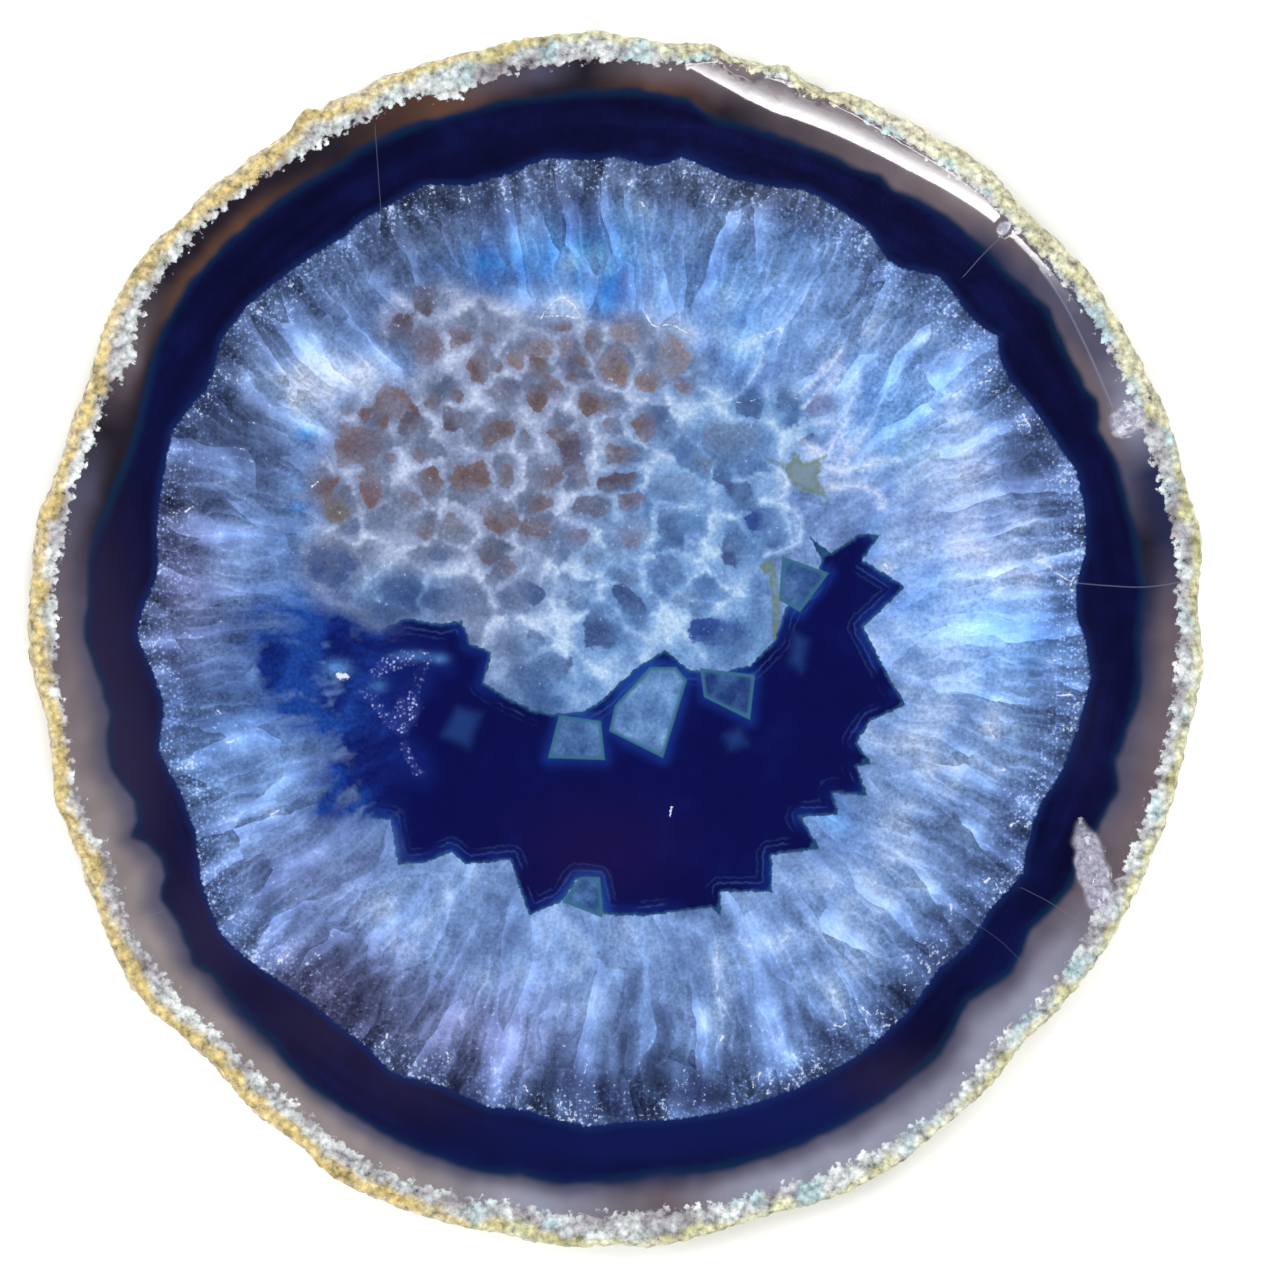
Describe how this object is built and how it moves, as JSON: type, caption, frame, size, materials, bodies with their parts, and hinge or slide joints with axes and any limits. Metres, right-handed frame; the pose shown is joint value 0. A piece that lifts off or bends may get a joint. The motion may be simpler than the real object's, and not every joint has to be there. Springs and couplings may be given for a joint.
{
  "type": "blue agate slice",
  "caption": "Polished round slice of a dyed blue agate nodule with a rough natural rind, sawn flat on both faces, lying on its back face.",
  "frame": {"origin": "middle of the slice's box at its underside, the sawn back face that it rests on", "axes": "+Z out of the polished front face, +Y towards the side that is uppermost on show, +X to the right as one looks down on the front face"},
  "size_m": [0.1446, 0.1496, 0.007],
  "materials": {
    "agate": "polished faces with a rough natural rind"
  },
  "bodies": {
    "root": {"agate_slice": "agate"}
  },
  "joints": []
}
